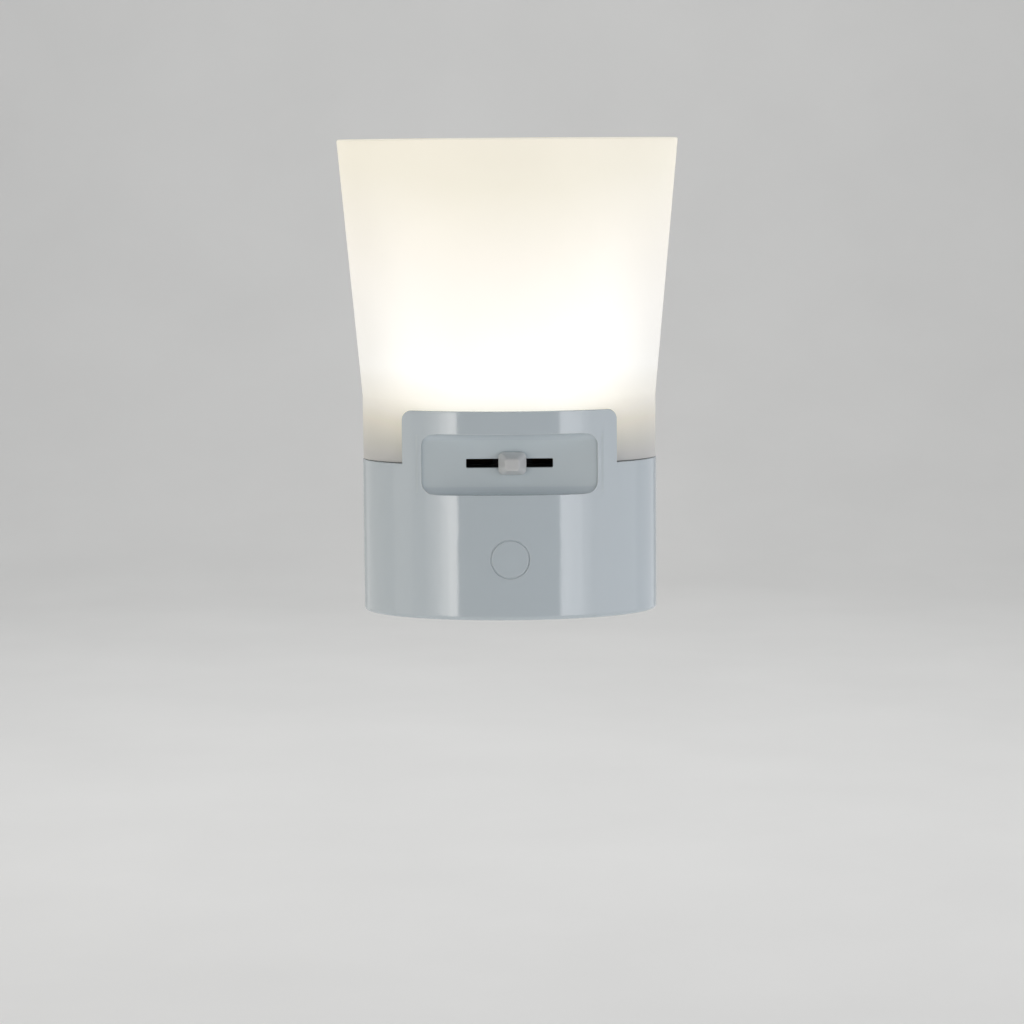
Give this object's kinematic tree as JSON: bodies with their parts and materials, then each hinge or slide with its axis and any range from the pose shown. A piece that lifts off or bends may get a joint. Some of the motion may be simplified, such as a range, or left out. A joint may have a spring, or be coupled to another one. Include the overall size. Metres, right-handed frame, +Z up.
{
  "type": "plug-in night light",
  "caption": "Plug-in night light: convex housing with flat plug blades, a slide dimmer in a flat-floored finger pocket, and an open frosted shade that flares upwards.",
  "frame": {"origin": "on the flat face of the plug, half way between the blades", "axes": "+X to the right seen from the front, +Y out of the plug face along the blades into the wall, +Z up towards the top of the shade"},
  "size_m": [0.0854, 0.058, 0.1186],
  "materials": {
    "shell_plastic": "semi-gloss moulded",
    "rear_plastic": "fine texture, moulded",
    "shade_plastic": "frosted, translucent",
    "deck_plastic": "white, diffuse reflecting",
    "knob_plastic": "satin moulded",
    "led_board_white": "white solder mask",
    "led_body": "white moulded",
    "led_phosphor": "silicone with phosphor",
    "screw_steel": "zinc plated",
    "case_screw_steel": "black zinc",
    "board_green": "solder mask over glass fibre",
    "film_cap_case": "moulded case",
    "electrolytic_sleeve": "shrink sleeve",
    "chip_epoxy": "moulded epoxy",
    "tinned_lead": "tinned",
    "resistor_coat": "flameproof coat",
    "surge_coat": "epoxy dip",
    "smd_resistor": "glass overcoat",
    "smd_capacitor": "ceramic",
    "header_plastic": "moulded",
    "pin_gold": "gold flash",
    "pot_steel": "plated sheet",
    "pot_phenolic": "paper phenolic",
    "pot_carbon": "printed carbon",
    "pot_carriage_plastic": "acetal",
    "spring_bronze": "phosphor bronze",
    "blade_metal": "nickel plated brass",
    "retainer_plastic": "moulded"
  },
  "bodies": {
    "housing": {"front_shell": "shell_plastic", "rear_cover": "rear_plastic", "light_shade": "shade_plastic", "led_deck": "deck_plastic", "led_board": "led_board_white", "led_packages": "led_body", "led_phosphors": "led_phosphor", "led_board_screws": "screw_steel", "main_board_screws": "screw_steel", "retainer_screws": "screw_steel", "case_screws": "case_screw_steel", "main_board": "board_green", "film_capacitor": "film_cap_case", "electrolytic_capacitor": "electrolytic_sleeve", "bridge_rectifier": "chip_epoxy", "driver_chip": "chip_epoxy", "chip_leads": "tinned_lead", "component_leads": "tinned_lead", "fuse_resistor": "resistor_coat", "surge_absorber": "surge_coat", "chip_resistors": "smd_resistor", "chip_capacitors": "smd_capacitor", "board_link_header": "header_plastic", "board_link_pins": "pin_gold", "slide_pot_case": "pot_steel", "slide_pot_track_board": "pot_phenolic", "slide_pot_tracks": "pot_carbon", "slide_pot_terminals": "tinned_lead", "neutral_blade": "blade_metal", "line_blade": "blade_metal", "blade_retainer": "retainer_plastic", "blade_clips": "spring_bronze"},
    "slider": {"slider_knob": "knob_plastic", "slide_pot_carriage": "pot_carriage_plastic", "slide_pot_wipers": "spring_bronze"}
  },
  "joints": [
    {"name": "brightness_slide", "type": "slide", "parent": "housing", "child": "slider", "axis": [1, 0, 0], "range_m": [-0.0082, 0.0068]}
  ]
}
